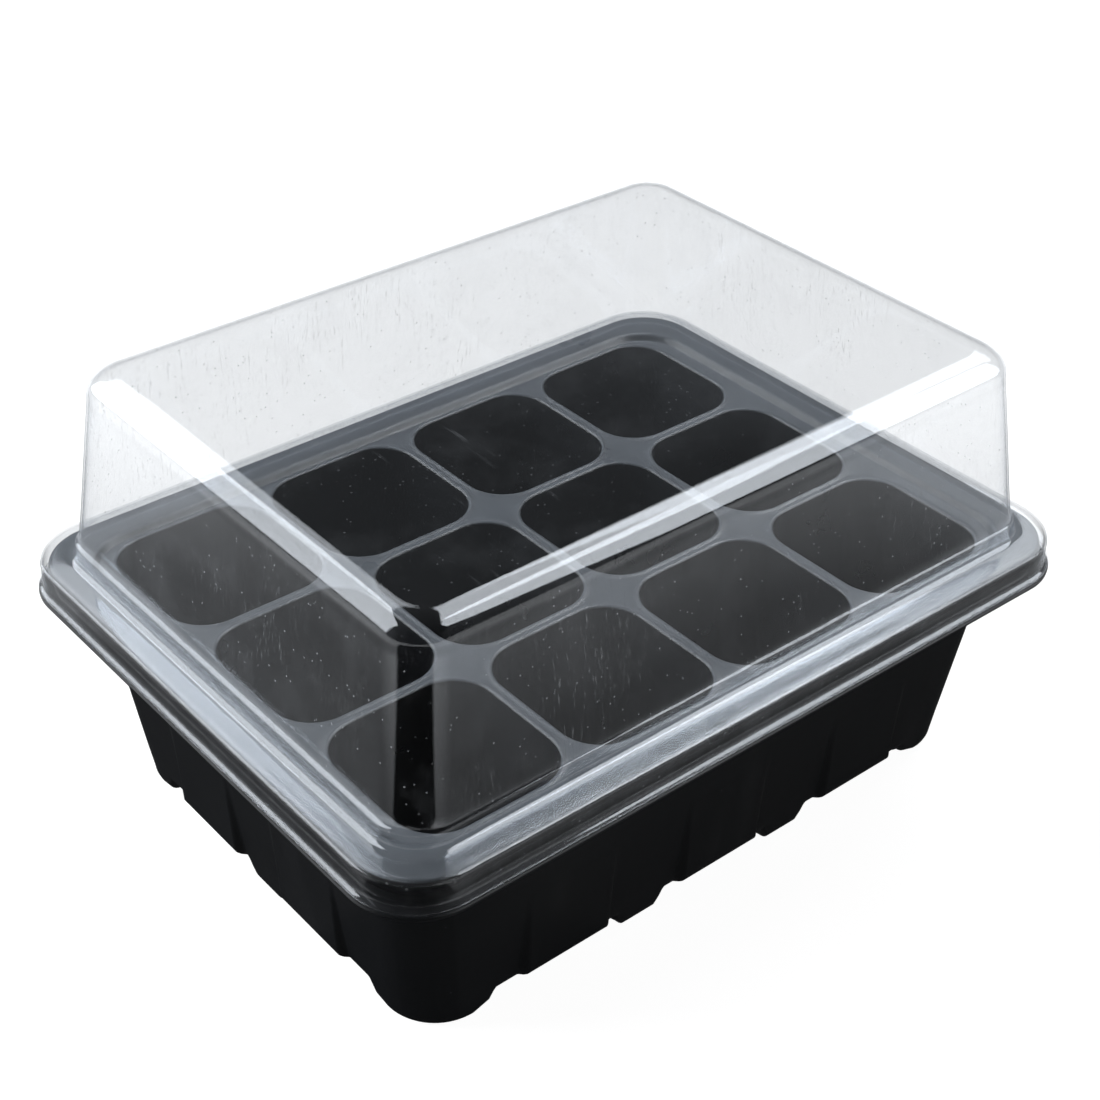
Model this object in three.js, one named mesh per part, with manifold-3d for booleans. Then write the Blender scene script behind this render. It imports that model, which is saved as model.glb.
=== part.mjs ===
// Seed propagator: a black base tray, a black twelve-cell insert and a clear lift-off dome.
// Units are millimetres, +Z is up, X runs along the long side, and the feet stand on z = 0.
import * as THREE from 'three';
import { ConvexGeometry } from 'three/addons/geometries/ConvexGeometry.js';
import { mergeVertices } from 'three/addons/utils/BufferGeometryUtils.js';
import Module from 'manifold-3d';

// Footprint that every inset is measured from; the skirt and the lip reach 0.7 mm beyond it
const LENGTH = 185;
const WIDTH = 141.4;
const HEIGHT = 103.8;
const SHEET = 0.7; // wall of both black trays
const CLEAR_SHEET = 0.5; // wall of the dome
const GAP = 0.3; // running clearance between nested rims

// Heights, from the feet up
const FLOOR_Z = 4.2; // underside of the base tray's floor between the feet
const CUP_Z = 11; // underside of the planting cells
const DECK_Z = 56.3; // top of the insert's recessed deck
const FLANGE_Z = 58.5; // top of the dome's flange
const DECK_FACE_Z = DECK_Z - SHEET;
const INSERT_RIM_Z = FLANGE_Z - CLEAR_SHEET - GAP;
const BASE_RIM_Z = INSERT_RIM_Z - SHEET - GAP;
const LIP_Z = 51.1; // top of the base tray's outward lip

// Base tray wall: how far it stands inside the footprint, and its draft
const WALL_INSET = 8; // at the height of the flange
const WALL_DRAFT = 0.113;
const WALL_RADIUS = 13;
const FLOOR_FILLET = 2.2;

// Feet and proud wall panels of the base tray
const CORNER_FOOT = 9.2; // half sizes
const MIDDLE_FOOT = 6.6;
const FOOT_FILLET = 2.4;
const FOOT_REVEAL = 0.15; // how far the outer feet stand inside the walls' faces
const FOOT_TOP_Z = 6.4;
const MIDDLE_FOOT_X = 21.3;
const PANEL_HALF = 10.4;
const PANEL_X = 42.6;
const PANEL_Y = 19.4;
const PANEL_TOP_Z = 29;
const PANEL_PROUD = 1.6;
const PANEL_FLANK = 1.4;

// Planting cells
const COLUMNS = 4;
const ROWS = 3;
const PITCH_X = 39.8;
const PITCH_Y = 40.4;
const MOUTH_X = 18.4; // half sizes of a cell's mouth
const MOUTH_Y = 18.8;
const MOUTH_RADIUS = 9.5;
const CUP_FLOOR_HALF = 12.4;
const CUP_FLOOR_RADIUS = 5;
const CUP_FILLET = 1.6;
const DRAIN_RADIUS = 4;

// Dome
const SKIRT_Z = 51.5; // lower edge of the skirt
const STEP_Z = 62.7; // top of the step at the foot of the walls
const STEP_INSET = 7;
const DOME_FOOT_INSET = 7.8;
const DOME_FOOT_END = 0.4; // the short walls stand this much further in at their foot
const DOME_TOP_INSET = 12.2;
const DOME_TOP_END = 0.8; // and this much at their top
const DOME_FILLET = 4.4;

const CORNER_STEPS = 3; // half the facets of a large rounded corner
const SMALL_CORNER_STEPS = 2; // the same on feet and cells

const wasm = await Module();
wasm.setup();

function blackPlastic() {
  return new THREE.MeshStandardMaterial({ color: 0x17181a, roughness: 0.42, metalness: 0 });
}

function clearPlastic() {
  return new THREE.MeshStandardMaterial({
    color: 0xe6ecf0, roughness: 0.12, metalness: 0, transparent: true, opacity: 0.3,
  });
}

// Rounded rectangle about the origin, as a ring of points at height z
function roundedRing(halfX, halfY, radius, z, steps = SMALL_CORNER_STEPS) {
  const x = halfX - radius;
  const y = halfY - radius;
  const quarter = Math.PI / 2;
  const outline = new THREE.Shape();
  outline.absarc(x, y, radius, 0, quarter);
  outline.absarc(-x, y, radius, quarter, 2 * quarter);
  outline.absarc(-x, -y, radius, 2 * quarter, 3 * quarter);
  outline.absarc(x, -y, radius, 3 * quarter, 4 * quarter);
  return outline.getPoints(steps).map((p) => new THREE.Vector3(p.x, p.y, z));
}

// A ring of the footprint, moved in by inset, and by endInset more at the short ends
function footprintRing([inset, z, radius, endInset = 0]) {
  return roundedRing(LENGTH / 2 - inset - endInset, WIDTH / 2 - inset, radius, z, CORNER_STEPS);
}

// Skins a stack of rings and closes it with a flat cap at the first ring and at the last
function loft(rings) {
  const count = rings[0].length;
  const points = rings.flat();
  const faces = [];
  for (let level = 0; level < rings.length - 1; level += 1) {
    for (let k = 0; k < count; k += 1) {
      const a = level * count + k;
      const b = level * count + ((k + 1) % count);
      faces.push(a, b, b + count, a, b + count, a + count);
    }
  }
  const last = (rings.length - 1) * count;
  const firstCentre = points.length;
  points.push(new THREE.Vector3(0, 0, rings[0][0].z));
  points.push(new THREE.Vector3(0, 0, rings.at(-1)[0].z));
  for (let k = 0; k < count; k += 1) {
    const next = (k + 1) % count;
    faces.push(firstCentre, next, k);
    faces.push(firstCentre + 1, last + k, last + next);
  }
  const geometry = new THREE.BufferGeometry().setFromPoints(points);
  geometry.setIndex(faces);
  return geometry;
}

function toSolid(geometry) {
  const bare = geometry.clone();
  bare.deleteAttribute('normal');
  bare.deleteAttribute('uv');
  const merged = mergeVertices(bare, 1e-4);
  return new wasm.Manifold(new wasm.Mesh({
    numProp: 3,
    vertProperties: new Float32Array(merged.attributes.position.array),
    triVerts: new Uint32Array(merged.index.array),
  }));
}

function toGeometry(solid) {
  const mesh = solid.getMesh();
  const geometry = new THREE.BufferGeometry();
  geometry.setAttribute('position', new THREE.BufferAttribute(mesh.vertProperties, 3));
  geometry.setIndex(new THREE.BufferAttribute(mesh.triVerts, 1));
  geometry.computeVertexNormals();
  return geometry;
}

function named(name, geometry, material) {
  const mesh = new THREE.Mesh(geometry, material);
  mesh.name = name;
  return mesh;
}

// Distance from the footprint to the base tray's outer wall face at height z
function wallInset(z) {
  return WALL_INSET + WALL_DRAFT * (FLANGE_Z - z);
}

// --- Base tray ---------------------------------------------------------------------------------

function baseShell() {
  const filletTop = FLOOR_Z + FLOOR_FILLET;
  const outside = [
    [wallInset(FLOOR_Z) + FLOOR_FILLET, FLOOR_Z, WALL_RADIUS - FLOOR_FILLET],
    [wallInset(FLOOR_Z) + 0.3 * FLOOR_FILLET, FLOOR_Z + 0.3 * FLOOR_FILLET, WALL_RADIUS - 0.6],
    [wallInset(filletTop), filletTop, WALL_RADIUS],
    [wallInset(BASE_RIM_Z - SHEET), BASE_RIM_Z - SHEET, WALL_RADIUS],
  ];
  const rim = [
    [3.6, BASE_RIM_Z - SHEET, 11.6],
    [3.1, LIP_Z + 0.2, 12],
    [-0.7, LIP_Z - SHEET, 15.1],
    [-0.5, LIP_Z, 15],
    [2.4, LIP_Z + 0.7, 12.6],
    [2.9, BASE_RIM_Z - 0.3, 12.2],
    [3.2, BASE_RIM_Z, 12],
  ];
  const insideWall = (z) => [wallInset(z) + SHEET, z, WALL_RADIUS - SHEET];
  const inside = [
    [wallInset(BASE_RIM_Z) + 0.2, BASE_RIM_Z, WALL_RADIUS - 0.2],
    insideWall(BASE_RIM_Z - 0.6),
    insideWall(filletTop + SHEET),
    [
      wallInset(FLOOR_Z) + SHEET + 0.3 * FLOOR_FILLET,
      FLOOR_Z + SHEET + 0.3 * FLOOR_FILLET,
      WALL_RADIUS - SHEET - 0.6,
    ],
    [wallInset(FLOOR_Z) + SHEET + FLOOR_FILLET, FLOOR_Z + SHEET, WALL_RADIUS - SHEET - FLOOR_FILLET],
  ];
  return toSolid(loft([...outside, ...rim, ...inside].map(footprintRing)));
}

// Centres and half sizes of the twelve feet
function footPlaces() {
  const edgeX = LENGTH / 2 - wallInset(0);
  const edgeY = WIDTH / 2 - wallInset(0);
  const places = [];
  for (const sideX of [-1, 1]) {
    for (const sideY of [-1, 1]) {
      places.push([sideX * (edgeX - CORNER_FOOT), sideY * (edgeY - CORNER_FOOT), CORNER_FOOT]);
      places.push([sideX * MIDDLE_FOOT_X, sideY * (edgeY - MIDDLE_FOOT), MIDDLE_FOOT]);
    }
    places.push([sideX * (edgeX - MIDDLE_FOOT), 0, MIDDLE_FOOT]);
    places.push([sideX * MIDDLE_FOOT_X, 0, MIDDLE_FOOT]);
  }
  return places;
}

// A block for one foot, drawn smaller by shrink all round for the hollow inside it
function footBlock([x, y, half], shrink) {
  const size = half - shrink;
  const radius = 0.75 * half - shrink;
  const low = size - FOOT_FILLET;
  const rings = [
    roundedRing(low, low, radius - FOOT_FILLET + 1, shrink),
    roundedRing(size - 0.3 * FOOT_FILLET, size - 0.3 * FOOT_FILLET, radius - 0.5, shrink + 0.7),
    roundedRing(size, size, radius, shrink + FOOT_FILLET),
    roundedRing(size + 0.5, size + 0.5, radius, FOOT_TOP_Z),
  ];
  return toSolid(loft(rings).translate(x, y, 0));
}

// The base tray's walls carried down to the ground, which the outer feet stand flush with
function footCore(shrink) {
  const side = (z) => wallInset(z) + FOOT_REVEAL + shrink;
  const rings = [
    [side(0) + FOOT_FILLET, shrink, WALL_RADIUS - shrink - FOOT_FILLET],
    [side(0) + 0.3 * FOOT_FILLET, shrink + 0.7, WALL_RADIUS - shrink - 0.7],
    [side(FOOT_FILLET), shrink + FOOT_FILLET, WALL_RADIUS - shrink],
    [side(FOOT_TOP_Z + 1), FOOT_TOP_Z + 1, WALL_RADIUS - shrink],
  ];
  return toSolid(loft(rings.map(footprintRing)));
}

function feet(shrink) {
  const core = footCore(shrink);
  return footPlaces().map((place) => footBlock(place, shrink).intersect(core));
}

// A wall panel that stands further out of the wall towards its lower edge
function panel(along, wallAt, shrink) {
  const rows = [
    { z: FLOOR_Z + 0.4 + shrink, out: PANEL_PROUD - 0.5 - shrink },
    { z: FLOOR_Z + 1.6 + shrink, out: PANEL_PROUD - shrink },
    { z: PANEL_TOP_Z - 8 * shrink, out: -0.2 - shrink },
  ];
  const points = [];
  for (const { z, out } of rows) {
    for (const side of [-1, 1]) {
      const half = PANEL_HALF - shrink;
      points.push(new THREE.Vector3(along + side * half, wallAt(z) + out, z));
      points.push(new THREE.Vector3(along + side * (half + PANEL_FLANK), wallAt(z) - 0.9 - shrink, z));
    }
  }
  return points;
}

function panels(shrink) {
  const wallY = (z) => WIDTH / 2 - wallInset(z);
  const wallX = (z) => LENGTH / 2 - wallInset(z);
  const solids = [];
  for (const side of [0, Math.PI]) {
    for (const along of [-PANEL_X, 0, PANEL_X]) {
      solids.push(new ConvexGeometry(panel(along, wallY, shrink)).rotateZ(side));
    }
    for (const along of [-PANEL_Y, PANEL_Y]) {
      solids.push(new ConvexGeometry(panel(along, wallX, shrink)).rotateZ(side - Math.PI / 2));
    }
  }
  return solids.map(toSolid);
}

function baseTray() {
  let tray = baseShell();
  for (const piece of [...feet(0), ...panels(0)]) {
    tray = tray.add(piece);
  }
  for (const hollow of [...feet(SHEET), ...panels(SHEET)]) {
    tray = tray.subtract(hollow);
  }
  return named('base_tray', toGeometry(tray), blackPlastic());
}

// --- Cell insert -------------------------------------------------------------------------------

function cellCentres() {
  const centres = [];
  for (let row = 0; row < ROWS; row += 1) {
    for (let column = 0; column < COLUMNS; column += 1) {
      const x = (column - (COLUMNS - 1) / 2) * PITCH_X;
      const y = (row - (ROWS - 1) / 2) * PITCH_Y;
      centres.push({ x, y, label: `r${row + 1}c${column + 1}` });
    }
  }
  return centres;
}

// The deck with its recess, rim and turned-down edge, and a hole over each cell
function insertDeck() {
  const wallFoot = wallInset(DECK_Z) + SHEET + GAP;
  const wallHead = wallInset(INSERT_RIM_Z) + SHEET + GAP;
  const rings = [
    [wallFoot + 0.3, DECK_FACE_Z, 11.6],
    [wallFoot, DECK_FACE_Z + 0.5, 11.9],
    [wallHead - 0.4, INSERT_RIM_Z - SHEET, 12.3],
    [2.6, INSERT_RIM_Z - SHEET, 12.4],
    [2.4, INSERT_RIM_Z - 2.9, 12.5],
    [1.7, INSERT_RIM_Z - 2.9, 13.2],
    [1.9, INSERT_RIM_Z - 0.3, 13.1],
    [2.2, INSERT_RIM_Z, 12.8],
    [wallHead, INSERT_RIM_Z, 12],
    [wallFoot + SHEET, DECK_Z + 0.4, 11.2],
    [wallFoot + SHEET + 0.4, DECK_Z, 10.8],
  ];
  let deck = toSolid(loft(rings.map(footprintRing)));
  const hole = loft([
    roundedRing(MOUTH_X, MOUTH_Y, MOUTH_RADIUS, DECK_FACE_Z - 1),
    roundedRing(MOUTH_X, MOUTH_Y, MOUTH_RADIUS, DECK_Z + 1),
  ]);
  for (const { x, y } of cellCentres()) {
    deck = deck.subtract(toSolid(hole.clone().translate(x, y, 0)));
  }
  return named('insert_deck', toGeometry(deck), blackPlastic());
}

// One tapered planting cell, open at the top, with a drain hole in its floor
function cupGeometry() {
  const top = DECK_FACE_Z - GAP;
  const knee = CUP_Z + CUP_FILLET;
  const lean = 0.16 * CUP_FILLET;
  const outer = [
    roundedRing(CUP_FLOOR_HALF, CUP_FLOOR_HALF, CUP_FLOOR_RADIUS, CUP_Z),
    roundedRing(CUP_FLOOR_HALF + SHEET + lean, CUP_FLOOR_HALF + SHEET + lean, CUP_FLOOR_RADIUS + 1, knee),
    roundedRing(MOUTH_X + SHEET, MOUTH_Y + SHEET, MOUTH_RADIUS + SHEET, top),
  ];
  const inner = [
    roundedRing(MOUTH_X, MOUTH_Y, MOUTH_RADIUS, top),
    roundedRing(CUP_FLOOR_HALF + lean, CUP_FLOOR_HALF + lean, CUP_FLOOR_RADIUS + 0.3, knee),
    roundedRing(CUP_FLOOR_HALF - 0.5, CUP_FLOOR_HALF - 0.5, CUP_FLOOR_RADIUS, CUP_Z + SHEET),
  ];
  const drain = new THREE.CylinderGeometry(DRAIN_RADIUS, DRAIN_RADIUS, 4, 12);
  drain.rotateX(Math.PI / 2).translate(0, 0, CUP_Z);
  return toGeometry(toSolid(loft([...outer, ...inner])).subtract(toSolid(drain)));
}

function cellInsert() {
  const insert = new THREE.Group();
  insert.add(insertDeck());
  const geometry = cupGeometry();
  for (const { x, y, label } of cellCentres()) {
    const cup = named(`cell_cup_${label}`, geometry, blackPlastic());
    cup.position.set(x, y, 0);
    insert.add(cup);
  }
  return insert;
}

// --- Dome --------------------------------------------------------------------------------------

function domeLid() {
  const shoulder = HEIGHT - DOME_FILLET;
  // the rounded top edge, as insets and heights from the wall to the flat top
  const topEdge = (thickness, radius) => [0, 0.25, 0.5, 0.75, 1].map((t) => {
    const angle = (t * Math.PI) / 2;
    const inset = DOME_TOP_INSET + thickness + radius * (1 - Math.cos(angle));
    return [inset, shoulder + radius * Math.sin(angle), 9 - thickness - 3 * t, DOME_TOP_END];
  });
  const inside = [
    ...topEdge(CLEAR_SHEET, DOME_FILLET - CLEAR_SHEET).reverse(),
    [DOME_FOOT_INSET + CLEAR_SHEET, STEP_Z - 0.2, 9.2, DOME_FOOT_END],
    [STEP_INSET + CLEAR_SHEET + 0.3, STEP_Z - 0.9, 9.6],
    [STEP_INSET + CLEAR_SHEET, FLANGE_Z + 0.4, 9.8],
    [STEP_INSET + CLEAR_SHEET - 0.5, FLANGE_Z - CLEAR_SHEET, 10.3],
    [0.9, FLANGE_Z - CLEAR_SHEET, 14.5],
    [0.1, SKIRT_Z + 0.6, 14.7],
    [-0.2, SKIRT_Z, 14.8],
  ];
  const outside = [
    [-0.7, SKIRT_Z, 15.1],
    [-0.4, SKIRT_Z + 0.6, 15.1],
    [0.1, FLANGE_Z - 0.4, 15],
    [0.4, FLANGE_Z, 14.8],
    [STEP_INSET - 0.5, FLANGE_Z, 10.8],
    [STEP_INSET, FLANGE_Z + 0.6, 10.3],
    [STEP_INSET + 0.2, STEP_Z - 0.7, 10.1],
    [STEP_INSET + 0.5, STEP_Z, 9.9],
    [DOME_FOOT_INSET, STEP_Z + 0.3, 9.6, DOME_FOOT_END],
    ...topEdge(0, DOME_FILLET),
  ];
  return named('dome_lid', loft([...inside, ...outside].map(footprintRing)), clearPlastic());
}

const group = new THREE.Group();
group.add(baseTray(), cellInsert(), domeLid());

export default group;
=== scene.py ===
"""Seed propagator: a black base tray, a black twelve-cell insert and a clear lift-off dome.

Each is one thermoformed sheet. An inset is how far in from the footprint's edge a point lies."""

import math

import bpy
from mathutils import Matrix, Vector, noise

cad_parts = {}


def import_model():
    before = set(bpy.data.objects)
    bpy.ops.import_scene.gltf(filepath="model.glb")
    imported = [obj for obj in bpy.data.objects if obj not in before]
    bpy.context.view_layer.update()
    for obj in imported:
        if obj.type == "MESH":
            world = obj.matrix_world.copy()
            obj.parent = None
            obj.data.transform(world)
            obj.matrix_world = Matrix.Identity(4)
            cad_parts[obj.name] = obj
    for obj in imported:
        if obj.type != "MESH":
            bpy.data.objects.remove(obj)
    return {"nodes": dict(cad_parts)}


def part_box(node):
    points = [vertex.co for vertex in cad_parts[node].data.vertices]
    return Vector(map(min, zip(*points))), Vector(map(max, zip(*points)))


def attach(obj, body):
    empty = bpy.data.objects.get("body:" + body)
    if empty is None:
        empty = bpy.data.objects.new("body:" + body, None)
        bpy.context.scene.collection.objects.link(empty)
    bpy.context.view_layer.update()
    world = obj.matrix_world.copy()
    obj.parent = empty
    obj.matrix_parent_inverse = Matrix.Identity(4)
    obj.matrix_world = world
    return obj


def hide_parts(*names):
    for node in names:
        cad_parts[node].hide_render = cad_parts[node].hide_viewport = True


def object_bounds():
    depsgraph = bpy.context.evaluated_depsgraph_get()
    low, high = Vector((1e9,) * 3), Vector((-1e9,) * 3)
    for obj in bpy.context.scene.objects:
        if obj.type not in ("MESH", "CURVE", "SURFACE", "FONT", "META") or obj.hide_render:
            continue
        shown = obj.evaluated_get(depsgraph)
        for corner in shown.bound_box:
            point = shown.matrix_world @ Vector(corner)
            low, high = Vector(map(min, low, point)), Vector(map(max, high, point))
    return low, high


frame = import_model()
CAD_LOW, CAD_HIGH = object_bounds()

# lengths are millimetres until a mesh is made
MM = 0.001
REACH = 0.7  # how far the skirt and the lip stand outside the footprint
HALF_X = (CAD_HIGH.x - CAD_LOW.x) / 2 / MM - REACH
HALF_Y = (CAD_HIGH.y - CAD_LOW.y) / 2 / MM - REACH
TOP_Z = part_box("dome_lid")[1].z / MM
SKIRT_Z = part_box("dome_lid")[0].z / MM
INSERT_RIM_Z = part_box("insert_deck")[1].z / MM
BASE_RIM_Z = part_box("base_tray")[1].z / MM
CUP_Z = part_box("cell_cup_r1c1")[0].z / MM
FLANGE_Z = INSERT_RIM_Z + 0.8  # top of the dome's flange
DECK_Z = FLANGE_Z - 2.2  # top of the insert's recessed deck
LIP_Z = FLANGE_Z - 7.4  # top of the base tray's outward lip

BLACK_SHEET = 0.6  # thicknesses
CLEAR_SHEET = 0.42

# base tray
FLOOR_Z = 4.2
FLOOR_FILLET = 2.6
WALL_HEAD_INSET = 8.0
WALL_DRAFT = 0.113
WALL_RADIUS = 13.0
CORNER_FOOT, MIDDLE_FOOT, MIDDLE_FOOT_X = 9.2, 6.6, 21.3
PANEL_TOP_Z = 30.0
PANEL_FULL_Z = 6.5
PANEL_HALF = 10.4
PANEL_FLANK = 1.5
PANEL_PROUD = 1.6
PANEL_X, PANEL_Y = 42.6, 19.4

# cell insert: pitch and half sizes of the cells' mouths
PITCH_X, PITCH_Y = 39.8, 40.4
MOUTH_X, MOUTH_Y, MOUTH_RADIUS = 18.4, 18.8, 9.5
FLOOR_SHRINK = 8.1  # how much smaller than the mouth a cell's flat floor is on each side
FLOOR_RADIUS = 4.1
DRAIN_RADIUS = 4.0
DECK_CORNER_X = 71.5  # centres of the deck's four rounded corners
DECK_CORNER_Y = PITCH_Y + MOUTH_Y - MOUTH_RADIUS
DECK_RADIUS = 10.65
CELL_ARC = 12
CELL_STRAIGHT = 6

# dome: insets of its wall at the foot and the head, and what the short ends add to them
STEP_Z = FLANGE_Z + 4.2
DOME_FOOT, DOME_FOOT_END = 7.8, 0.4
DOME_HEAD, DOME_HEAD_END = 12.0, 0.8
DOME_FILLET = 6.0


# --- Sheets: rings of points joined by quads ---------------------------------------------------


class Outline:
    """A family of rounded rectangles whose points match one to one.

    Each half corner has arc steps, and the straight sides have points at fixed coordinates."""

    def __init__(self, along_x, along_y, arc):
        self.along_x, self.along_y, self.arc = along_x, along_y, arc
        self.count_x = 2 * arc + 1 + len(along_x)
        self.count_y = 2 * arc + 1 + len(along_y)

    def ring(self, half_x, half_y, radius):
        """[(x, y)] anticlockwise from the middle of the corner at -x, -y."""
        end_x, end_y = half_x - radius, half_y - radius
        points = []
        sides = (
            (self.along_x, lambda c: (c, -half_y), (-end_x, -end_y), (end_x, -end_y), 225),
            (self.along_y, lambda c: (half_x, c), (end_x, -end_y), (end_x, end_y), 315),
            (self.along_x[::-1], lambda c: (c, half_y), (end_x, end_y), (-end_x, end_y), 45),
            (self.along_y[::-1], lambda c: (-half_x, c), (-end_x, end_y), (-end_x, -end_y), 135),
        )
        for along, place, first, second, angle in sides:
            for k in range(self.arc + 1):
                points.append(on_arc(first, radius, angle + 45 * k / self.arc))
            points.extend(place(c) for c in along)
            for k in range(self.arc):
                points.append(on_arc(second, radius, angle + 45 + 45 * k / self.arc))
        return points


def on_arc(centre, radius, degrees):
    angle = math.radians(degrees)
    return centre[0] + radius * math.cos(angle), centre[1] + radius * math.sin(angle)


class Sheet:
    """Vertices and quads of one open sheet. up is True if its front faces up where it lies flat."""

    def __init__(self, up):
        self.up = up
        self.points = []
        self.faces = []

    def add(self, points):
        first = len(self.points)
        self.points.extend(points)
        return list(range(first, len(self.points)))

    def quad(self, a, b, c, d):
        self.faces.append((a, b, c, d) if self.up else (d, c, b, a))

    def bridge(self, outer, inner):
        """Joins a closed ring to the next one along the sheet from its edge to its middle."""
        count = len(outer)
        for k in range(count):
            n = (k + 1) % count
            self.quad(outer[k], outer[n], inner[n], inner[k])

    def loft(self, rings):
        made = [self.add(ring) for ring in rings]
        for outer, inner in zip(made, made[1:]):
            self.bridge(outer, inner)
        return made[-1]

    def fill(self, ring, outline, height):
        """Closes a ring with a grid whose lines run along the outline's fixed coordinates."""
        nx, ny, arc = outline.count_x, outline.count_y, outline.arc
        bottom = ring[: nx + 1]
        right = ring[nx : nx + ny + 1]
        top = ring[nx + ny : 2 * nx + ny + 1][::-1]
        left = (ring[2 * nx + ny :] + ring[:1])[::-1]
        xs = [self.points[i][0] for i in bottom]
        ys = [self.points[i][1] for i in left]
        rows = [bottom]
        for j in range(1, ny):
            row = [left[j]]
            for i in range(1, nx):
                x = spread(xs, i, arc, self.points[left[j]][0], self.points[right[j]][0])
                y = spread(ys, j, arc, self.points[bottom[i]][1], self.points[top[i]][1])
                row.extend(self.add([(x, y, height(x, y))]))
            row.append(right[j])
            rows.append(row)
        rows.append(top)
        for low, high in zip(rows, rows[1:]):
            for i in range(nx):
                self.quad(low[i], low[i + 1], high[i + 1], high[i])

    def make(self, name, thickness):
        """The finished piece: welded, smooth and given its thickness behind the front."""
        mesh = bpy.data.meshes.new(name)
        mesh.from_pydata([[c * MM for c in p] for p in self.points], [], self.faces)
        mesh.shade_smooth()
        piece = bpy.data.objects.new(name, mesh)
        bpy.context.scene.collection.objects.link(piece)
        weld = piece.modifiers.new("weld", "WELD")
        weld.merge_threshold = 0.02 * MM
        solid = piece.modifiers.new("thickness", "SOLIDIFY")
        solid.thickness = thickness * MM
        solid.offset = -1
        solid.use_even_offset = False
        apply_modifiers(piece)
        return piece


def spread(values, k, arc, low, high):
    """values[k], with the stretch beside each corner's arc scaled to end at low or high."""
    last = len(values) - 1
    if k <= arc:
        return low + (values[arc] - low) * (values[k] - values[0]) / (values[arc] - values[0])
    if k >= last - arc:
        start = values[last - arc]
        return start + (high - start) * (values[k] - start) / (values[last] - start)
    return values[k]


def apply_modifiers(piece):
    evaluated = piece.evaluated_get(bpy.context.evaluated_depsgraph_get())
    finished = bpy.data.meshes.new_from_object(evaluated)
    finished.name = piece.name
    piece.modifiers.clear()
    piece.data = finished


def smooth(value, low, high):
    """0 below low, 1 above high, and an S between."""
    t = min(max((value - low) / (high - low), 0.0), 1.0)
    return t * t * (3 - 2 * t)


def ripple(x, y, z, size, seed):
    """A smooth number from -1 to 1 that changes over about size millimetres, the same on every run."""
    return noise.noise(Vector((x / size + seed, y / size - seed, z / size + 2 * seed)))


def evenly(low, high, step):
    count = max(2, math.ceil((high - low) / step))
    return [low + (high - low) * k / count for k in range(count + 1)]


def mirrored(half):
    """The coordinates in half, which starts at 0, with their negatives."""
    return [-c for c in half[:0:-1]] + half


# --- Base tray ---------------------------------------------------------------------------------


def wall_inset(z):
    """How far the base tray's wall stands inside the footprint."""
    return WALL_HEAD_INSET + WALL_DRAFT * (FLANGE_Z - z)


FOOT_EDGE_X = HALF_X - wall_inset(0)
FOOT_EDGE_Y = HALF_Y - wall_inset(0)


def feet():
    """(x, y, half size) of the twelve feet."""
    places = []
    for sx in (-1, 1):
        places.append((sx * (FOOT_EDGE_X - MIDDLE_FOOT), 0, MIDDLE_FOOT))
        places.append((sx * MIDDLE_FOOT_X, 0, MIDDLE_FOOT))
        for sy in (-1, 1):
            corner_x, corner_y = sx * (FOOT_EDGE_X - CORNER_FOOT), sy * (FOOT_EDGE_Y - CORNER_FOOT)
            places.append((corner_x, corner_y, CORNER_FOOT))
            places.append((sx * MIDDLE_FOOT_X, sy * (FOOT_EDGE_Y - MIDDLE_FOOT), MIDDLE_FOOT))
    return places


FEET = feet()


def foot_depth(x, y):
    """1 under a foot's sole and 0 on the floor between the feet."""
    deepest = 0.0
    for fx, fy, half in FEET:
        radius = 0.6 * half
        dx = max(abs(x - fx) - half + radius, 0)
        dy = max(abs(y - fy) - half + radius, 0)
        inside = radius - math.hypot(dx, dy)
        deepest = max(deepest, smooth(inside, -0.3, 1.9))
    return deepest


def base_coordinates():
    """Where the straight sides carry points: close together at the panels' flanks and the feet's sides."""
    flank = (-0.4, 0, 0.4, 0.75, 1.1, 1.5, 2.0)
    edges_x = [PANEL_HALF + f for f in flank]
    edges_x += [PANEL_X - PANEL_HALF - f for f in flank]
    edges_x += [PANEL_X + PANEL_HALF + f for f in flank]
    edges_x += [14.6, 15.3, 16.0, 17.0, 25.6, 26.6, 27.3, 28.0]
    edges_x += evenly(0, PANEL_HALF - 0.8, 2.4) + evenly(18.5, 24, 2.8) + evenly(34.2, 51, 2.8)
    edges_x += [57.0, 58.5, 59.2, 60.0, 60.8, 61.6]
    edges_y = [PANEL_Y - PANEL_HALF - f for f in flank[:-1]]
    edges_y += [PANEL_Y + PANEL_HALF + f for f in flank]
    edges_y += [4.4, 5.3, 6.0, 6.6] + evenly(0, 3.4, 1.8) + evenly(10.6, 28.2, 2.8)
    edges_y += [33.5, 36, 37.2, 37.9, 38.6, 39.4, 40.2]
    return mirrored(sorted(set(edges_x))), mirrored(sorted(set(edges_y)))


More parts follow.
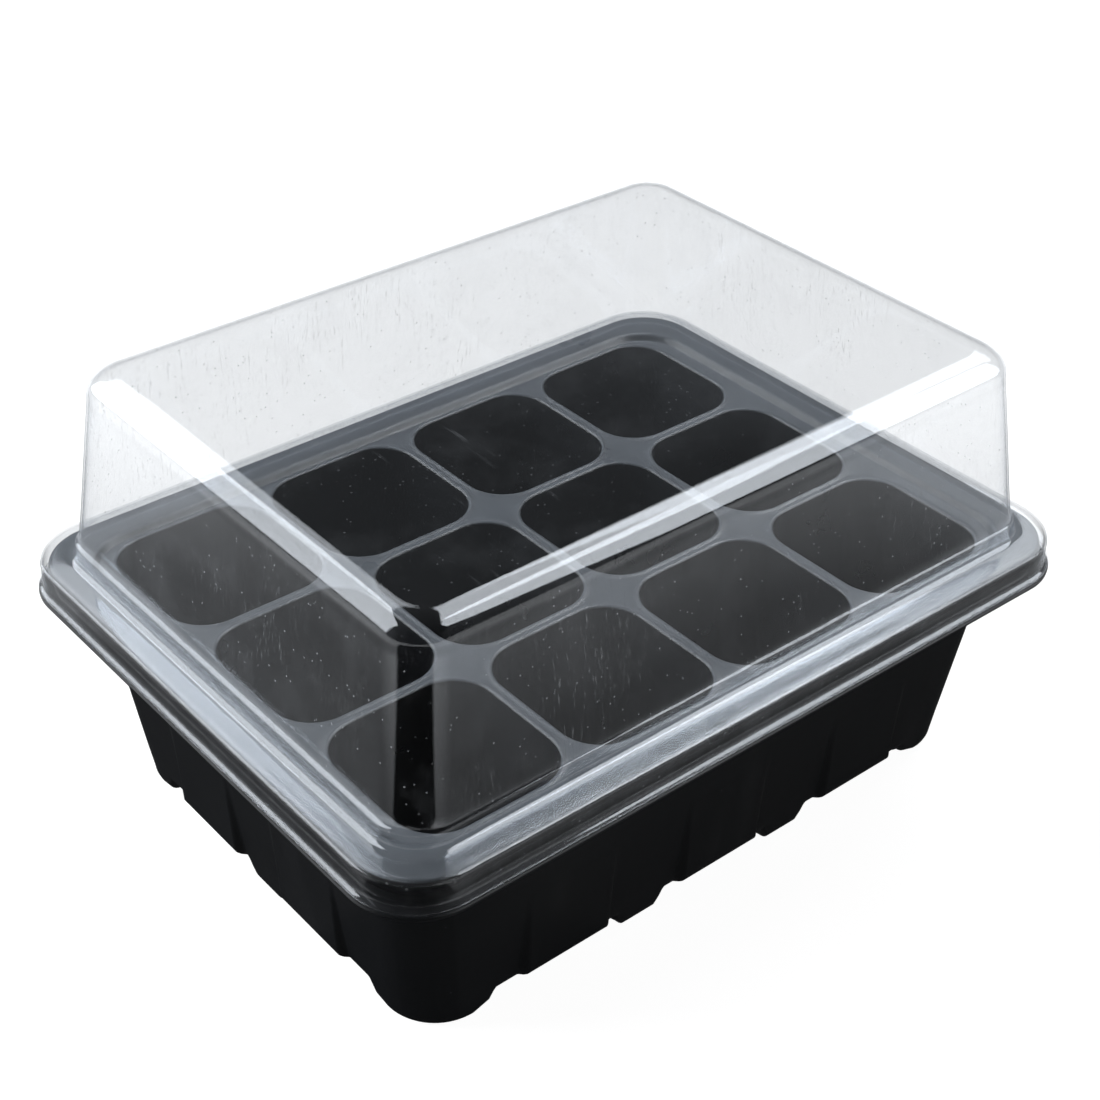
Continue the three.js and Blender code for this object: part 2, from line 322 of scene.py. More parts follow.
def base_rim_rings(outline):
    """The underside of the lip, step and rim, from the lip's edge in to the head of the wall."""
    profile = (
        (-REACH, LIP_Z - 0.68, 15.1),
        (-0.2, LIP_Z - 0.58, 14.9),
        (0.9, LIP_Z - 0.32, 14.3),
        (2.2, LIP_Z - 0.01, 13.4),
        (2.8, LIP_Z + 0.25, 12.9),
        (3.1, LIP_Z + 0.8, 12.6),
        (3.3, LIP_Z + 2.4, 12.4),
        (3.5, BASE_RIM_Z - 1.5, 12.2),
        (3.6, BASE_RIM_Z - 1.0, 12.1),
        (3.9, BASE_RIM_Z - 0.72, 12),
        (4.6, BASE_RIM_Z - 0.7, 12),
        (wall_inset(BASE_RIM_Z) - 0.6, BASE_RIM_Z - 0.7, 12.8),
        (wall_inset(BASE_RIM_Z) - 0.15, BASE_RIM_Z - 0.85, WALL_RADIUS),
    )
    rings = []
    for inset, z, radius in profile:
        outer = outline.ring(HALF_X - inset, HALF_Y - inset, radius)
        rings.append([(x, y, z) for x, y in outer])
    return rings


def base_wall_rings(outline):
    """The outside of the wall with its panels, carried down over the feet to the edge of the floor."""
    heights = [BASE_RIM_Z - 1.4, 52, 46, 40, 35, 32, 30, 29, 27.5, 25, 22, 18, 14, 11, 8.6]
    rings = []
    for z in heights:
        rings.append([wall_point(x, y, z) for x, y in wall_ring(outline, z, 0)])
    for t in (0.0, 0.15, 0.3, 0.45, 0.6, 0.75, 0.9, 1.0):
        rings.append(turned_ring(outline, t))
    return rings


def turned_ring(outline, t):
    """Where the wall turns under, at the floor or lower over a foot: t is 0 at its start and 1 at its end."""
    angle = t * math.pi / 2
    inset = FLOOR_FILLET * (1 - math.cos(angle))
    bend_z = FLOOR_Z + FLOOR_FILLET - FLOOR_FILLET * math.sin(angle)
    sole = outline.ring(FOOT_EDGE_X - FLOOR_FILLET, FOOT_EDGE_Y - FLOOR_FILLET, WALL_RADIUS - FLOOR_FILLET)
    ring = []
    for (x, y), (sole_x, sole_y) in zip(wall_ring(outline, bend_z, inset), sole):
        depth = foot_depth(sole_x, sole_y)
        z = bend_z - FLOOR_Z * depth * smooth(t, -0.6, 0.25)
        shift = WALL_DRAFT * FLOOR_Z * depth
        nx, ny = outward(x, y, z)
        rise = (1 - 0.6 * t) * panel_rise_at(x, y, nx, ny)
        ring.append((x + nx * (rise - shift), y + ny * (rise - shift), z))
    return ring


def wall_ring(outline, z, inset):
    radius = WALL_RADIUS - inset
    return outline.ring(HALF_X - wall_inset(z) - inset, HALF_Y - wall_inset(z) - inset, radius)


def outward(x, y, z):
    """The level direction out of the wall at a point of it."""
    centre_x = HALF_X - wall_inset(z) - WALL_RADIUS
    centre_y = HALF_Y - wall_inset(z) - WALL_RADIUS
    dx = math.copysign(max(abs(x) - centre_x, 0), x)
    dy = math.copysign(max(abs(y) - centre_y, 0), y)
    length = math.hypot(dx, dy) or 1.0
    return dx / length, dy / length


def panel_rise_at(x, y, nx, ny):
    """The panel's rise at the foot of the wall, from the direction that the wall faces there."""
    if abs(ny) > 0.999:
        distance = min(abs(x - c) for c in (-PANEL_X, 0, PANEL_X))
    elif abs(nx) > 0.999:
        distance = min(abs(y - c) for c in (-PANEL_Y, PANEL_Y))
    else:
        return 0.0
    return PANEL_PROUD * (1 - smooth(distance, PANEL_HALF, PANEL_HALF + PANEL_FLANK))


def wall_point(x, y, z):
    """A point of the plain wall moved out by its panel, which fades to nothing at its top."""
    nx, ny = outward(x, y, z)
    share = min(max((PANEL_TOP_Z - z) / (PANEL_TOP_Z - PANEL_FULL_Z), 0), 1)
    rise = panel_rise_at(x, y, nx, ny) * share + 0.12 * ripple(x, y, z, 26, 3.1)
    return x + nx * rise, y + ny * rise, z


def floor_height(x, y):
    return FLOOR_Z * (1 - foot_depth(x, y)) + 0.1 * ripple(x, y, 0, 30, 1.7)


def base_tray():
    outline = Outline(*base_coordinates(), 9)
    sheet = Sheet(up=False)
    last = sheet.loft(base_rim_rings(outline) + base_wall_rings(outline))
    sheet.fill(last, outline, floor_height)
    piece = sheet.make("base_tray_shell", BLACK_SHEET)
    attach(piece, "base_tray")
    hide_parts("base_tray")
    paint(piece, tray_plastic())


# --- Cell insert -------------------------------------------------------------------------------


def cell_ring(half_x, half_y, radius):
    """Points round one cell, anticlockwise, starting at the corner at +x, +y where it leaves the +x side."""
    points = []
    for quarter in range(4):
        sx = (1, -1, -1, 1)[quarter]
        sy = (1, 1, -1, -1)[quarter]
        centre = (sx * (half_x - radius), sy * (half_y - radius))
        for k in range(CELL_ARC + 1):
            points.append(on_arc(centre, radius, 90 * quarter + 90 * k / CELL_ARC))
        ahead = ((-1, 0), (0, -1), (1, 0), (0, 1))[quarter]
        length = 2 * (half_x - radius) if ahead[0] else 2 * (half_y - radius)
        x, y = points[-1]
        for k in range(1, CELL_STRAIGHT):
            step = length * k / CELL_STRAIGHT
            points.append((x + ahead[0] * step, y + ahead[1] * step))
    return points


def tile_ring(column, row):
    """The edge of one cell's share of the deck, in the cell's own coordinates.

    Its points match those of cell_ring one to one."""
    straight_x, straight_y = MOUTH_X - MOUTH_RADIUS, MOUTH_Y - MOUTH_RADIUS
    corner_x = DECK_CORNER_X - 1.5 * PITCH_X
    end_reach, end_climb = corner_x + DECK_RADIUS, straight_y + DECK_RADIUS
    reach = {side: end_reach if column == end else PITCH_X / 2 for side, end in ((-1, 0), (1, 3))}
    climb = {side: end_climb if row == end else PITCH_Y / 2 for side, end in ((-1, 0), (1, 2))}
    ring = []
    for index, (x, y) in enumerate(cell_ring(MOUTH_X, MOUTH_Y, MOUTH_RADIUS)):
        quarter, k = divmod(index, CELL_ARC + CELL_STRAIGHT)
        sx = (1, -1, -1, 1)[quarter]
        sy = (1, 1, -1, -1)[quarter]
        if k > CELL_ARC and quarter in (0, 2):
            at_corner = is_deck_corner(column, row, math.copysign(1, x), sy)
            ring.append((x * corner_x / straight_x if at_corner else x, sy * climb[sy]))
        elif k > CELL_ARC:
            ring.append((sx * reach[sx], y))
        elif is_deck_corner(column, row, sx, sy):
            angle = 90 * quarter + 90 * k / CELL_ARC
            ring.append(on_arc((sx * corner_x, sy * straight_y), DECK_RADIUS, angle))
        else:
            turn = k / CELL_ARC if quarter in (0, 2) else 1 - k / CELL_ARC
            along_y = straight_y + (climb[sy] - straight_y) * min(2 * turn, 1)
            along_x = straight_x + (reach[sx] - straight_x) * min(2 - 2 * turn, 1)
            ring.append((sx * along_x, sy * along_y))
    return ring


def is_deck_corner(column, row, sx, sy):
    """True if the corner of this cell's tile towards sx, sy is a corner of the whole deck."""
    return (column, sx) in ((0, -1), (3, 1)) and (row, sy) in ((0, -1), (2, 1))


def cell_profile():
    """(shrink of the mouth's half size, radius, height) down one cell, from the deck to its flat floor."""
    depth = DECK_Z - CUP_Z
    steps = [(-0.95, MOUTH_RADIUS + 0.9, DECK_Z + 0.02), (-0.72, MOUTH_RADIUS + 0.7, DECK_Z + 0.1)]
    for t in (0.0, 0.25, 0.5, 0.75, 1.0):
        angle = t * math.pi / 2
        z = DECK_Z + 0.1 - 0.7 * (1 - math.cos(angle))
        steps.append((-0.5 + 0.6 * math.sin(angle), MOUTH_RADIUS + 0.4 - 0.5 * t, z))
    for t in (0.08, 0.2, 0.4, 0.6, 0.8, 0.93):
        steps.append((0.2 + 5.7 * t, MOUTH_RADIUS - 0.2 - 3.6 * t, DECK_Z - 0.8 - (depth - 3.4) * t))
    for t in (0.0, 0.3, 0.6, 1.0):
        angle = t * math.pi / 2
        shrink = FLOOR_SHRINK - 2.2 * math.cos(angle)
        steps.append((shrink, FLOOR_RADIUS + 1.6 * (1 - t), CUP_Z + 0.7 + 2 * (1 - math.sin(angle))))
    return steps


def drain_rings():
    """The cell's floor from its fillet in to the round drain hole, with a slight fall towards it."""
    rings = []
    for t in (0.35, 0.7, 0.93, 1.0):
        z = CUP_Z + 0.7 - 0.25 * smooth(t, 0.2, 1)
        ring = []
        for x, y in cell_ring(MOUTH_X - FLOOR_SHRINK, MOUTH_Y - FLOOR_SHRINK, FLOOR_RADIUS):
            scale = 1 + (DRAIN_RADIUS / math.hypot(x, y) - 1) * t
            ring.append((x * scale, y * scale, z))
        rings.append(ring)
    return rings


def add_cell(sheet, column, row):
    """One cell with its share of the deck."""
    at_x, at_y = (column - 1.5) * PITCH_X, (row - 1) * PITCH_Y
    edge = tile_ring(column, row)
    mouth = cell_ring(MOUTH_X + 0.95, MOUTH_Y + 0.95, MOUTH_RADIUS + 0.9)
    rings = []
    for t in (0.0, 0.35, 0.7):
        ring = []
        for (ex, ey), (mx, my) in zip(edge, mouth):
            x, y = ex + (mx - ex) * t, ey + (my - ey) * t
            ring.append((x, y, DECK_Z - 0.06 * (1 - t)))
        rings.append(ring)
    for shrink, radius, z in cell_profile():
        rings.append([(x, y, z) for x, y in cell_ring(MOUTH_X - shrink, MOUTH_Y - shrink, radius)])
    rings.extend(drain_rings())
    placed = []
    for ring in rings:
        placed.append([(x + at_x, y + at_y, z) for x, y, z in ring])
    sheet.loft(placed)


def deck_edge():
    """The points of the tiles that lie on the edge of the whole deck, anticlockwise."""
    half_x, half_y = DECK_CORNER_X + DECK_RADIUS, DECK_CORNER_Y + DECK_RADIUS
    points = set()
    for column in range(4):
        for row in range(3):
            for x, y in tile_ring(column, row):
                x, y = x + (column - 1.5) * PITCH_X, y + (row - 1) * PITCH_Y
                beyond = math.hypot(max(abs(x) - DECK_CORNER_X, 0), max(abs(y) - DECK_CORNER_Y, 0))
                if abs(x) > half_x - 1e-6 or abs(y) > half_y - 1e-6 or beyond > DECK_RADIUS - 1e-6:
                    points.add((round(x, 6), round(y, 6)))
    return sorted(points, key=lambda p: math.atan2(p[1], p[0]))


def moved_edge(points, inset, z, radius):
    """The deck's edge carried out to the footprint's outline at inset, with corners of that radius."""
    end_x, end_y = HALF_X - inset - radius, HALF_Y - inset - radius
    ring = []
    for x, y in points:
        over_x, over_y = abs(x) - DECK_CORNER_X, abs(y) - DECK_CORNER_Y
        if over_x > 1e-6 and over_y > 1e-6:
            new_x = end_x + over_x * radius / DECK_RADIUS
            new_y = end_y + over_y * radius / DECK_RADIUS
        elif over_x > 1e-6:
            new_x, new_y = end_x + radius, abs(y) * end_y / DECK_CORNER_Y
        else:
            new_x, new_y = abs(x) * end_x / DECK_CORNER_X, end_y + radius
        ring.append((math.copysign(new_x, x), math.copysign(new_y, y), z))
    return ring


def add_insert_rim(sheet):
    """The turned-down edge, the rim and the recess wall, in to the edge of the deck."""
    points = deck_edge()
    head = wall_inset(INSERT_RIM_Z) + 1.0
    foot = HALF_X - DECK_CORNER_X - DECK_RADIUS
    profile = (
        (1.65, INSERT_RIM_Z - 2.9, 13.3),
        (1.75, INSERT_RIM_Z - 1.6, 13.2),
        (1.85, INSERT_RIM_Z - 0.7, 13.1),
        (2.05, INSERT_RIM_Z - 0.25, 13),
        (2.4, INSERT_RIM_Z - 0.03, 12.7),
        (3.3, INSERT_RIM_Z, 12.5),
        (head - 0.9, INSERT_RIM_Z, 12.1),
        (head - 0.35, INSERT_RIM_Z - 0.05, 12),
        (head, INSERT_RIM_Z - 0.22, 11.9),
        (head + 0.3, INSERT_RIM_Z - 0.55, 11.7),
        (foot - 0.65, DECK_Z + 0.5, 11.4),
        (foot - 0.35, DECK_Z + 0.18, 11.1),
        (foot - 0.12, DECK_Z, 10.8),
    )
    rings = [moved_edge(points, *step) for step in profile]
    rings.append([(x, y, DECK_Z - 0.06) for x, y in points])
    sheet.loft(rings)


def cell_insert():
    sheet = Sheet(up=True)
    for column in range(4):
        for row in range(3):
            add_cell(sheet, column, row)
    add_insert_rim(sheet)
    piece = sheet.make("cell_insert_sheet", BLACK_SHEET)
    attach(piece, "cell_insert")
    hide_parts(*[n for n in frame["nodes"] if n == "insert_deck" or n.startswith("cell_cup_")])
    paint(piece, insert_plastic())


# --- Dome --------------------------------------------------------------------------------------


def dome_rim():
    """(inset, extra inset at the short ends, z, corner radius) from the skirt's edge to the wall's foot."""
    return [
        (-0.4, 0, SKIRT_Z, 15),
        (-0.65, 0, SKIRT_Z + 0.12, 15.1),
        (-REACH, 0, SKIRT_Z + 0.4, 15.1),
        (-0.62, 0, SKIRT_Z + 0.7, 15.1),
        (-0.44, 0, SKIRT_Z + 0.95, 15.1),
        (-0.18, 0, SKIRT_Z + 1.2, 15),
        (0.02, 0, SKIRT_Z + 1.45, 15),
        (0.1, 0, SKIRT_Z + 1.8, 15),
        (0.1, 0, SKIRT_Z + 3, 15),
        (0.12, 0, FLANGE_Z - 0.9, 15),
        (0.25, 0, FLANGE_Z - 0.4, 14.9),
        (0.5, 0, FLANGE_Z - 0.1, 14.7),
        (1, 0, FLANGE_Z, 14.4),
        (2.6, 0, FLANGE_Z, 13.5),
        (4.7, 0, FLANGE_Z, 12.1),
        (5.6, 0, FLANGE_Z + 0.06, 11.4),
        (6.2, 0, FLANGE_Z + 0.28, 10.9),
        (6.65, 0, FLANGE_Z + 0.7, 10.6),
        (6.93, 0, FLANGE_Z + 1.3, 10.3),
        (7.08, 0, FLANGE_Z + 2.1, 10.2),
        (7.16, 0, FLANGE_Z + 2.9, 10.1),
        (7.25, 0, STEP_Z - 0.7, 10),
        (7.35, 0, STEP_Z - 0.25, 9.9),
        (7.5, 0.1, STEP_Z, 9.8),
        (7.68, 0.25, STEP_Z + 0.12, 9.6),
        (DOME_FOOT, 0.38, STEP_Z + 0.5, 9.5),
    ]


def dome_profile():
    """The rim's steps, then those of the wall and of the fillet up to the flat top."""
    steps = dome_rim()
    low, high = STEP_Z + 0.6, TOP_Z - DOME_FILLET
    for t in (0.06, 0.14, 0.25, 0.38, 0.52, 0.66, 0.8, 0.9, 0.96):
        inset = DOME_FOOT + (DOME_HEAD - DOME_FOOT) * t
        end = DOME_FOOT_END + (DOME_HEAD_END - DOME_FOOT_END) * t
        steps.append((inset, end, low + (high - low) * t, 9.5 - 0.5 * t))
    for t in (0, 0.1, 0.2, 0.3, 0.4, 0.5, 0.6, 0.7, 0.8, 0.9, 1):
        angle = t * math.pi / 2
        inset = DOME_HEAD + DOME_FILLET * (1 - math.cos(angle))
        steps.append((inset, DOME_HEAD_END, high + DOME_FILLET * math.sin(angle), 9 - 3 * t))
    return steps


def dome_wobble(x, y, z):
    """The unevenness of a drawn sheet, sideways and up: most along the step, none on the flange and top."""
    step = math.exp(-(((z - STEP_Z - 0.3) / 0.8) ** 2))
    wall = smooth(z, STEP_Z, STEP_Z + 8) * (1 - smooth(z, TOP_Z - 6, TOP_Z - 4))
    side = 0.12 * step * ripple(x, y, z, 9, 5.3) + 0.14 * wall * ripple(x, y, 1.4 * z, 36, 2.4)
    return side, 0.2 * step * ripple(x, y, z, 7, 8.1)


def dome_top_height(x, y):
    """The flat top sags a little between its edges."""
    end_x = HALF_X - DOME_HEAD - DOME_HEAD_END - DOME_FILLET
    end_y = HALF_Y - DOME_HEAD - DOME_FILLET
    inside = smooth(end_x - abs(x), 0, 30) * smooth(end_y - abs(y), 0, 30)
    return TOP_Z - 0.25 * inside + 0.05 * inside * ripple(x, y, 0, 40, 6.6)


def dome_lid():
    outline = Outline(mirrored(evenly(0, 65, 4.1)), mirrored(evenly(0, 44, 4.1)), 9)
    sheet = Sheet(up=True)
    rings = []
    for inset, end, z, radius in dome_profile():
        ring = []
        for x, y in outline.ring(HALF_X - inset - end, HALF_Y - inset, radius):
            side, lift = dome_wobble(x, y, z)
            reach = math.hypot(x / HALF_X, y / HALF_Y) or 1.0
            ring.append((x * (1 + side / HALF_X / reach), y * (1 + side / HALF_Y / reach), z + lift))
        rings.append(ring)
    last = sheet.loft(rings)
    sheet.fill(last, outline, dome_top_height)
    piece = sheet.make("dome_shell", CLEAR_SHEET)
    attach(piece, "dome_lid")
    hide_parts("dome_lid")
    paint(piece, clear_plastic())


# --- Materials ---------------------------------------------------------------------------------


class Nodes:
    """One node material."""

    def __init__(self, name):
        self.material = bpy.data.materials.new(name)
        self.material.use_nodes = True
        self.tree = self.material.node_tree
        self.tree.nodes.clear()
        self.output = self.tree.nodes.new("ShaderNodeOutputMaterial")
        self.coordinates = self.tree.nodes.new("ShaderNodeTexCoord").outputs["Object"]

    def add(self, kind, inputs, **settings):
        node = self.tree.nodes.new("ShaderNode" + kind)
        for key, value in settings.items():
            setattr(node, key, value)
        for key, value in inputs.items():
            if isinstance(value, bpy.types.NodeSocket):
                self.tree.links.new(value, node.inputs[key])
            else:
                node.inputs[key].default_value = value
        return node

    def math(self, operation, a, b=0.5):
        return self.add("Math", {0: a, 1: b}, operation=operation).outputs[0]

    def length(self, x, y):
        squares = self.math("ADD", self.math("MULTIPLY", x, x), self.math("MULTIPLY", y, y))
        return self.math("SQRT", squares)

    def ramp(self, value, low, high, out_low=0.0, out_high=1.0):
        """value from low..high to out_low..out_high, held at the ends."""
        inputs = {0: value, 1: low, 2: high, 3: out_low, 4: out_high}
        return self.add("MapRange", inputs).outputs[0]

    def noise(self, scale, detail=2.0, stretch=(1, 1, 1), roughness=0.5):
        mapping = self.add("Mapping", {"Vector": self.coordinates, "Scale": stretch})
        inputs = {"Vector": mapping.outputs[0], "Scale": scale, "Detail": detail, "Roughness": roughness}
        return self.add("TexNoise", inputs).outputs["Fac"]

    def mix(self, factor, a, b):
        node = self.add("Mix", {"Factor": factor}, data_type="RGBA")
        for socket, value in ((node.inputs[6], a), (node.inputs[7], b)):
            if isinstance(value, bpy.types.NodeSocket):
                self.tree.links.new(value, socket)
            else:
                socket.default_value = (*value, 1)
        return node.outputs[2]

    def bump(self, height, distance, strength=1.0):
        inputs = {"Height": height, "Distance": distance, "Strength": strength}
        return self.add("Bump", inputs).outputs[0]

    def plastic(self, colour, roughness, normal, specular):
        inputs = {"Base Color": colour, "Roughness": roughness, "Normal": normal}
        inputs.update({"Specular IOR Level": specular, "IOR": 1.5})
        return self.surface(self.add("BsdfPrincipled", inputs).outputs[0])

    def surface(self, shader):
        self.tree.links.new(shader, self.output.inputs["Surface"])
        return self.material


def paint(piece, material):
    piece.data.materials.clear()
    piece.data.materials.append(material)


def upward(n):
    """1 where the surface faces straight up, 0 on walls and undersides."""
    normal = n.add("NewGeometry", {}).outputs["Normal"]
    z = n.add("SeparateXYZ", {0: normal}).outputs["Z"]
    return n.ramp(z, 0.35, 0.95)


def specks(n, scale, size, share):
    """1 in small round specks: one in a share of the cells of a Voronoi pattern."""
    cell = n.add("TexVoronoi", {"Vector": n.coordinates, "Scale": scale})
    chance = n.add("SeparateXYZ", {0: cell.outputs["Color"]}).outputs["X"]
    chosen = n.math("LESS_THAN", chance, share)
    dot = n.ramp(cell.outputs["Distance"], size * 0.6, size, 1, 0)
    return n.math("MULTIPLY", chosen, dot)


def tray_plastic():
    """Black polystyrene sheet, satin, with a fine orange-peel grain, scuffs and a trace of dust."""
    n = Nodes("black_tray_plastic")
    cloud = n.noise(28, 3)
    scuff = n.ramp(n.noise(60, 5, (1, 1, 0.25), 0.65), 0.58, 0.8)
    dust = n.math("MULTIPLY", specks(n, 420, 0.12, 0.05), 0.2)
    colour = n.mix(cloud, (0.0054, 0.006, 0.0072), (0.0078, 0.0086, 0.01))
    colour = n.mix(n.math("MULTIPLY", scuff, 0.16), colour, (0.03, 0.032, 0.035))
    colour = n.mix(dust, colour, (0.16, 0.16, 0.17))
    rough = n.math("ADD", n.ramp(cloud, 0.3, 0.7, 0.36, 0.46), n.math("MULTIPLY", scuff, 0.12))
    normal = n.bump(n.math("ADD", n.noise(1900, 2), n.math("MULTIPLY", n.noise(90, 2), 4.0)), 0.00003, 0.5)
    return n.plastic(colour, rough, normal, 0.2)


def insert_plastic():
    """Thin black sheet, glossier than the tray, painted grey where it faces up as a painted sheen of the
    light from above, with fine wear there and dust specks.
    """
    n = Nodes("black_insert_plastic")
    cloud = n.noise(40, 4, roughness=0.6)
    top = upward(n)
    wear = n.ramp(n.noise(420, 4, roughness=0.7), 0.45, 0.75)
    streak = n.ramp(n.noise(1, 3, (420, 420, 30)), 0.62, 0.82)
    # painted sheen: surfaces that face up are painted grey in place of the reflection of the light from above
    painted_top_sheen = n.math("MULTIPLY", top, n.ramp(cloud, 0.3, 0.7, 0.8, 1.0))
    colour = n.mix(painted_top_sheen, (0.0045, 0.0051, 0.0061), (0.13, 0.145, 0.163))
    colour = n.mix(n.math("MULTIPLY", n.math("MULTIPLY", wear, top), 0.25), colour, (0.14, 0.15, 0.165))
    colour = n.mix(n.math("MULTIPLY", streak, 0.05), colour, (0.06, 0.064, 0.07))
    dots = n.math("MULTIPLY", specks(n, 380, 0.14, 0.06), 0.35)
    colour = n.mix(dots, colour, (0.3, 0.31, 0.32))
    rough = n.ramp(cloud, 0.3, 0.7, 0.26, 0.36)
    normal = n.bump(n.noise(110, 2), 0.0001, 0.5)
    return n.plastic(colour, rough, normal, 0.4)


def dome_haze(n, wall):
    """The share of the film that is milky: most on the flat top, with clouds that are most on the walls."""
    cloud = n.ramp(n.noise(55, 5, roughness=0.7), 0.5, 0.8)
    cloud = n.math("MULTIPLY", cloud, n.ramp(wall, 0, 1, 0.5, 1.0))
    return n.math("ADD", n.ramp(wall, 0, 1, 0.011, 0.003), n.math("MULTIPLY", cloud, 0.03))


def dome_marks(n, wall):
    """Patches of scratches down the walls, a few hairs and white specks."""
    patches = n.ramp(n.noise(30, 3), 0.42, 0.66)
    scratch = n.ramp(n.noise(1, 4, (1900, 1900, 80), 0.6), 0.6, 0.72)
    scratch = n.math("MULTIPLY", scratch, n.math("MULTIPLY", patches, wall))
    hairs = n.ramp(n.noise(1, 3, (900, 60, 400), 0.55), 0.68, 0.76)
    hairs = n.math("MULTIPLY", hairs, n.ramp(n.noise(17, 2), 0.5, 0.7))
    dots = n.math("MULTIPLY", specks(n, 700, 0.17, 0.14), n.ramp(wall, 0, 1, 0.35, 1))
    marks = n.math("ADD", n.math("MULTIPLY", scratch, 0.28), n.math("MULTIPLY", dots, 0.35))
    return n.math("ADD", marks, n.math("MULTIPLY", hairs, 0.15))


def clear_plastic():
    """Thin clear sheet: a mirror by angle over a clear film with haze, fine scratches and specks."""
    n = Nodes("clear_dome_plastic")
    normal_z = n.add("SeparateXYZ", {0: n.add("NewGeometry", {}).outputs["Normal"]}).outputs["Z"]
    wall = n.ramp(n.math("ABSOLUTE", normal_z), 0.3, 0.8, 1, 0)
    inputs = {0: dome_haze(n, wall), 1: dome_marks(n, wall)}
    cover = n.add("Math", inputs, operation="ADD", use_clamp=True).outputs[0]
    normal = n.bump(n.noise(45, 2), 0.0001, 0.5)
    facing = n.add("LayerWeight", {"Blend": 0.5}).outputs["Facing"]
    mirror = n.ramp(n.math("POWER", facing, 5.0), 0, 1, 0.045, 1.0)
    clear = n.add("BsdfTransparent", {"Color": (0.958, 0.962, 0.966, 1)}).outputs[0]
    film = n.add("BsdfPrincipled", {"Base Color": (0.62, 0.65, 0.69, 1), "Roughness": 0.5}).outputs[0]
    gloss = n.add("BsdfGlossy", {"Color": (0.93, 0.96, 1, 1), "Roughness": 0.06, "Normal": normal}).outputs[0]
    body = n.add("MixShader", {0: cover, 1: clear, 2: film}).outputs[0]
    return n.surface(n.add("MixShader", {0: mirror, 1: body, 2: gloss}).outputs[0])


# --- Studio ------------------------------------------------------------------------------------


def floor_paper():
    """White paper that is partly lit from below, as a light table is."""
    n = Nodes("floor_white")
    colour = n.mix(n.noise(3, 2), (0.24, 0.24, 0.242), (0.25, 0.25, 0.25))
    inputs = {
        "Base Color": colour,
        "Roughness": 0.7,
        "Specular IOR Level": 0.0,
        "Emission Color": (1, 1, 1, 1),
        "Emission Strength": 0.97,
    }
    return n.surface(n.add("BsdfPrincipled", inputs).outputs[0])


def card(name, reach, z, material):
    """A level square sheet of the studio, centred under the object."""
    mesh = bpy.data.meshes.new(name)
    corners = [(-reach, -reach, 0), (reach, -reach, 0), (reach, reach, 0), (-reach, reach, 0)]
    mesh.from_pydata(corners, [], [(0, 1, 2, 3)])
    mesh.materials.append(material)
    piece = bpy.data.objects.new(name, mesh)
    piece.location.z = CAD_LOW.z + z
    bpy.context.scene.collection.objects.link(piece)
    return piece


def flag_black():
    """Black close to the object and out towards the camera's side, open beyond that with a soft edge."""
    n = Nodes("flag_black")
    place = n.add("SeparateXYZ", {0: n.coordinates})
    x, y = place.outputs["X"], place.outputs["Y"]
    out_x = n.math("MAXIMUM", n.math("SUBTRACT", n.math("ABSOLUTE", x), HALF_X * MM), 0.0)
    out_y = n.math("MAXIMUM", n.math("SUBTRACT", n.math("ABSOLUTE", y), HALF_Y * MM), 0.0)
    away = n.length(out_x, out_y)
    near = n.math("MULTIPLY", n.ramp(away, 0.045, 0.066, 0.97, 0.72), n.ramp(away, 0.1, 0.22, 1, 0))
    reach = n.length(x, y)
    towards = n.math("ADD", n.math("MULTIPLY", x, -0.788), n.math("MULTIPLY", y, -0.616))
    front = n.ramp(n.math("DIVIDE", towards, reach), 0.86, 0.9)
    cover = n.math("MAXIMUM", near, front)
    clear = n.add("BsdfTransparent", {}).outputs[0]
    black = n.add("Emission", {"Color": (0, 0, 0, 1), "Strength": 0.0}).outputs[0]
    return n.surface(n.add("MixShader", {0: cover, 1: clear, 2: black}).outputs[0])


def flag():
    """A black card on the floor that only reflections see, as cards off camera darken black plastic."""
    piece = card("flag", 0.6, 0.0003, flag_black())
    piece.visible_camera = False
    piece.visible_diffuse = False
    piece.visible_transmission = False
    piece.visible_shadow = False


def softbox(name, azimuth, elevation, distance, width, height, radiance):
    """An area light aimed at the object, in degrees and metres.

    Azimuth 0 is on the -Y side and 90 on the +X side."""
    a, e = math.radians(azimuth), math.radians(elevation)
    direction = Vector((math.sin(a) * math.cos(e), -math.cos(a) * math.cos(e), math.sin(e)))
    data = bpy.data.lights.new(name, "AREA")
    data.shape = "RECTANGLE"
    data.size, data.size_y = width, height
    data.color = (0.95, 0.975, 1.0)
    data.energy = radiance * math.pi * width * height
    light = bpy.data.objects.new(name, data)
    light.location = direction * distance + Vector((0, 0, 0.06))
    light.rotation_mode = "QUATERNION"
    light.rotation_quaternion = direction.to_track_quat("Z", "Y")
    light.visible_camera = False
    bpy.context.scene.collection.objects.link(light)
    return light


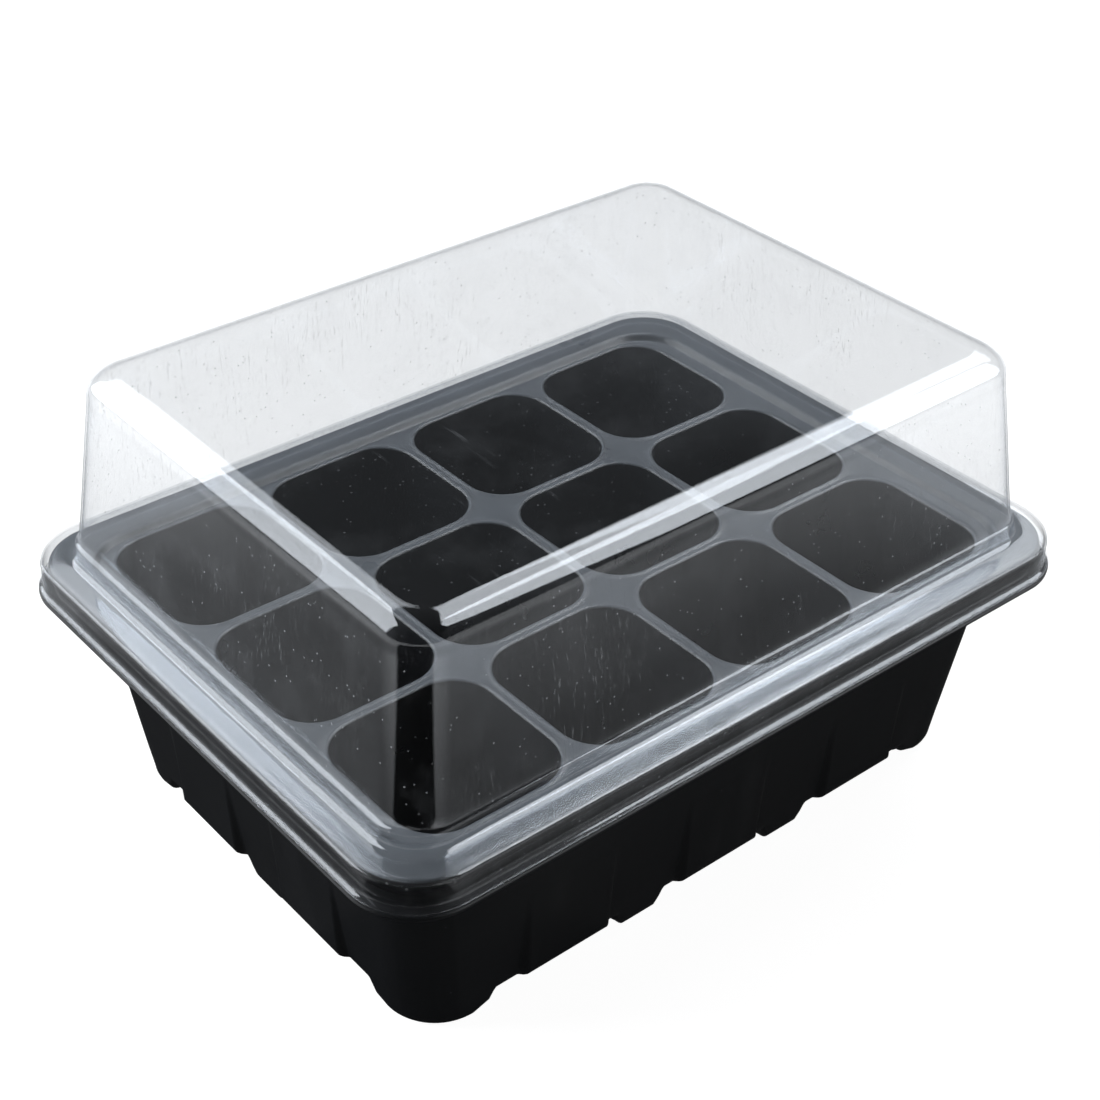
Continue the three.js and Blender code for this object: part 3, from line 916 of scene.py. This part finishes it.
def world():
    """A dim room, a little lighter towards the horizon and dark on the camera's side."""
    made = bpy.data.worlds.new("studio")
    made.use_nodes = True
    nodes, links = made.node_tree.nodes, made.node_tree.links

    def ramp(value, *limits):
        node = nodes.new("ShaderNodeMapRange")
        links.new(value, node.inputs[0])
        for socket, limit in zip(node.inputs[1:5], limits):
            socket.default_value = limit
        return node.outputs[0]

    direction = nodes.new("ShaderNodeTexCoord").outputs["Generated"]
    height = nodes.new("ShaderNodeSeparateXYZ")
    links.new(direction, height.inputs[0])
    towards = nodes.new("ShaderNodeVectorMath")
    towards.operation = "DOT_PRODUCT"
    towards.inputs[1].default_value = (-0.65, -0.76, 0)
    links.new(direction, towards.inputs[0])
    strength = nodes.new("ShaderNodeMath")
    strength.operation = "MULTIPLY"
    links.new(ramp(height.outputs["Z"], 0.46, 0.52, 0.22, 0.04), strength.inputs[0])
    links.new(ramp(towards.outputs["Value"], 0.2, 0.6, 1.0, 0.12), strength.inputs[1])
    links.new(strength.outputs[0], nodes["Background"].inputs["Strength"])
    nodes["Background"].inputs["Color"].default_value = (0.92, 0.95, 1.0, 1)
    bpy.context.scene.world = made


def camera():
    """Looks at the dome's flange from the left and above, from the -X, -Y side."""
    azimuth, elevation, roll = map(math.radians, (-40.464, 35.55, 1.129))
    level = math.cos(elevation)
    back = Vector((math.sin(azimuth) * level, -math.cos(azimuth) * level, math.sin(elevation)))
    right = (-back).cross(Vector((0, 0, 1))).normalized()
    up = right.cross(-back)
    data = bpy.data.cameras.new("camera")
    data.sensor_width = 36
    data.lens = 64.9
    data.shift_x = -0.0141
    data.shift_y = 0.0253
    made = bpy.data.objects.new("camera", data)
    bpy.context.scene.collection.objects.link(made)
    aim = Vector((-0.00675, -0.0129, FLANGE_Z * MM))
    side = math.cos(roll) * right + math.sin(roll) * up
    above = -math.sin(roll) * right + math.cos(roll) * up
    turn = Matrix((side, above, back)).transposed()
    made.matrix_world = Matrix.Translation(aim + back * 0.42267) @ turn.to_4x4()
    bpy.context.scene.camera = made


def studio():
    scene = bpy.context.scene
    scene.view_settings.view_transform = "Standard"
    world()
    card("floor", 6.0, -0.0002, floor_paper())
    flag()
    softbox("back_right", 104, 45, 1.2, 0.66, 0.62, 3.2)
    softbox("back_left", 178, 46, 1.2, 0.72, 0.5, 2.8)
    softbox("left", 219, 28, 1.2, 1.1, 1.1, 5.5)
    # the next two light shiny surfaces only, for the bright bands along the dome's top edges
    softbox("high_right", 84, 60, 1.2, 1.1, 0.55, 5).visible_diffuse = False
    softbox("front_right", 51, 33, 1.2, 0.84, 1.1, 5.5).visible_diffuse = False
    camera()


def main():
    base_tray()
    cell_insert()
    dome_lid()
    studio()


main()
